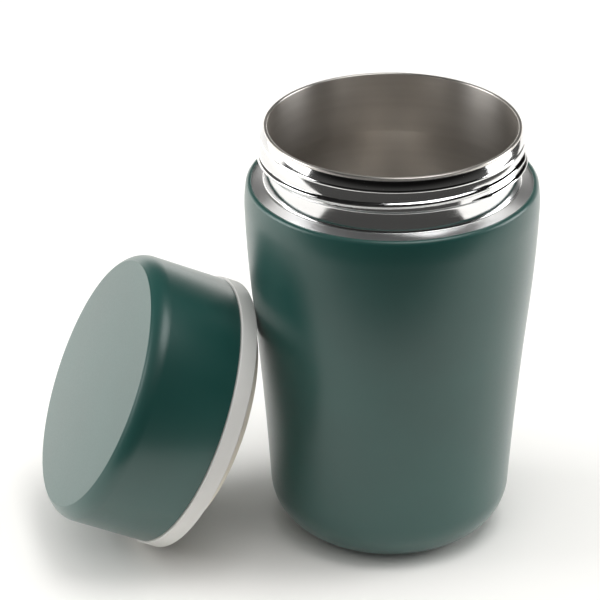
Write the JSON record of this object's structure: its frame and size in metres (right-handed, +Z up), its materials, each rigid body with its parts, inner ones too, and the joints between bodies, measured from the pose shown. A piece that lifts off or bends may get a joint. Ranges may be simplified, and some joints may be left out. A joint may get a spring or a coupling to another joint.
{
  "type": "insulated food jar",
  "caption": "Wide-mouth double-walled steel food jar with a rounded base and a bare threaded neck, and its insulated screw lid taken off and leaned against the jar's side.",
  "frame": {"origin": "centre of the ring that the jar stands on, at the level of the table", "axes": "+Z up along the jar's axis and out of its mouth; the lid leans on the jar's -X side, with its top facing 194 degrees about +Z from +X"},
  "size_m": [0.1722, 0.1112, 0.1508],
  "materials": {
    "jar_paint": "satin",
    "neck_steel": "polished",
    "vessel_steel": "satin",
    "foil": "gloss",
    "bottom_steel": "satin",
    "solder": "matte",
    "getter_metal": "matte",
    "cover_steel": "satin",
    "lid_paint": "satin",
    "liner_plastic": "satin",
    "disc_plastic": "satin",
    "gasket_silicone": "matte",
    "foam": "matte"
  },
  "bodies": {
    "jar": {"outer_shell": "jar_paint", "neck_collar": "neck_steel", "inner_vessel": "vessel_steel", "radiation_foil": "foil", "outer_bottom": "bottom_steel", "evacuation_seal": "solder", "getter": "getter_metal", "base_cover": "cover_steel"},
    "lid_seal": {"main_gasket": "gasket_silicone"},
    "lid": {"lid_shell": "lid_paint", "lid_liner": "liner_plastic", "plug_disc": "disc_plastic", "lid_insulation": "foam"}
  },
  "joints": [
    {"name": "lid_lift", "type": "slide", "parent": "jar", "child": "lid_seal", "axis": [-0.8794, -0.2193, 0.4226], "range_m": [0, 0.06]},
    {"name": "lid_turn", "type": "hinge", "parent": "lid_seal", "child": "lid", "pos_m": [-0.06783, -0.00774, 0.04351], "axis": [-0.8794, -0.2193, 0.4226], "continuous": true}
  ]
}
